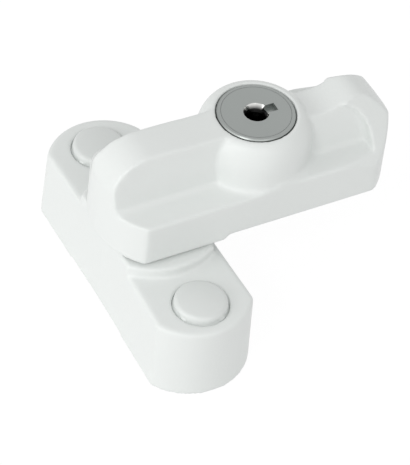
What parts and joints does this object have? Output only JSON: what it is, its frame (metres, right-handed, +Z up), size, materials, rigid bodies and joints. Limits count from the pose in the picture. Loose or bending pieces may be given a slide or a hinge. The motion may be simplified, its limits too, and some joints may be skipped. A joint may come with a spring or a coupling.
{
  "type": "sash stopper",
  "caption": "Keyed sash stopper: a screw-down base with capped fixings and a swinging arm with finger scoops and a round key lock.",
  "frame": {"origin": "on the underside of the base, on the axis that the arm swings about, midway between the two screw holes", "axes": "+Z up out of the sash that the base is screwed to, +X along the arm from its pivot to its free end at rest, +Y along the base, from the screw hole near the viewer to the far one"},
  "size_m": [0.0544, 0.0552, 0.0353],
  "materials": {
    "white_coat": "satin white powder coat on zinc alloy",
    "cap_plastic": "satin white moulded plastic",
    "lock_nickel": "satin nickel plate, finely turned",
    "plated_steel": "bright zinc plate",
    "nylon": "natural nylon"
  },
  "bodies": {
    "base": {"base_body": "white_coat", "screw_cap_near": "cap_plastic", "screw_cap_far": "cap_plastic", "pivot_post": "plated_steel", "flat_washer": "plated_steel", "spring_washer": "plated_steel", "pivot_nut": "plated_steel", "friction_washer": "nylon"},
    "arm": {"arm_body": "white_coat", "keeper_plate": "plated_steel", "keeper_screws": "plated_steel", "lock_cover": "plated_steel", "cover_screws": "plated_steel", "lock_housing": "lock_nickel", "housing_clip": "plated_steel"},
    "plug": {"lock_plug": "lock_nickel", "key_pin": "lock_nickel", "plug_washer": "plated_steel", "lock_cam": "plated_steel"},
    "bolt": {"locking_bolt": "plated_steel"}
  },
  "joints": [
    {"name": "arm_swing", "type": "hinge", "parent": "base", "child": "arm", "pos_m": [0, 0, 0], "axis": [0, 0, 1], "range_deg": [-90, 90]},
    {"name": "plug_turn", "type": "hinge", "parent": "arm", "child": "plug", "pos_m": [0.0188, 0, 0], "axis": [0, 0, 1], "range_deg": [0, 90]},
    {"name": "bolt_slide", "type": "slide", "parent": "arm", "child": "bolt", "axis": [-1, 0, 0], "range_m": [0, 0.00205]}
  ],
  "couplings": [
    {"joint": "bolt_slide", "follows": "plug_turn", "m_per_rad": 0.001305}
  ]
}
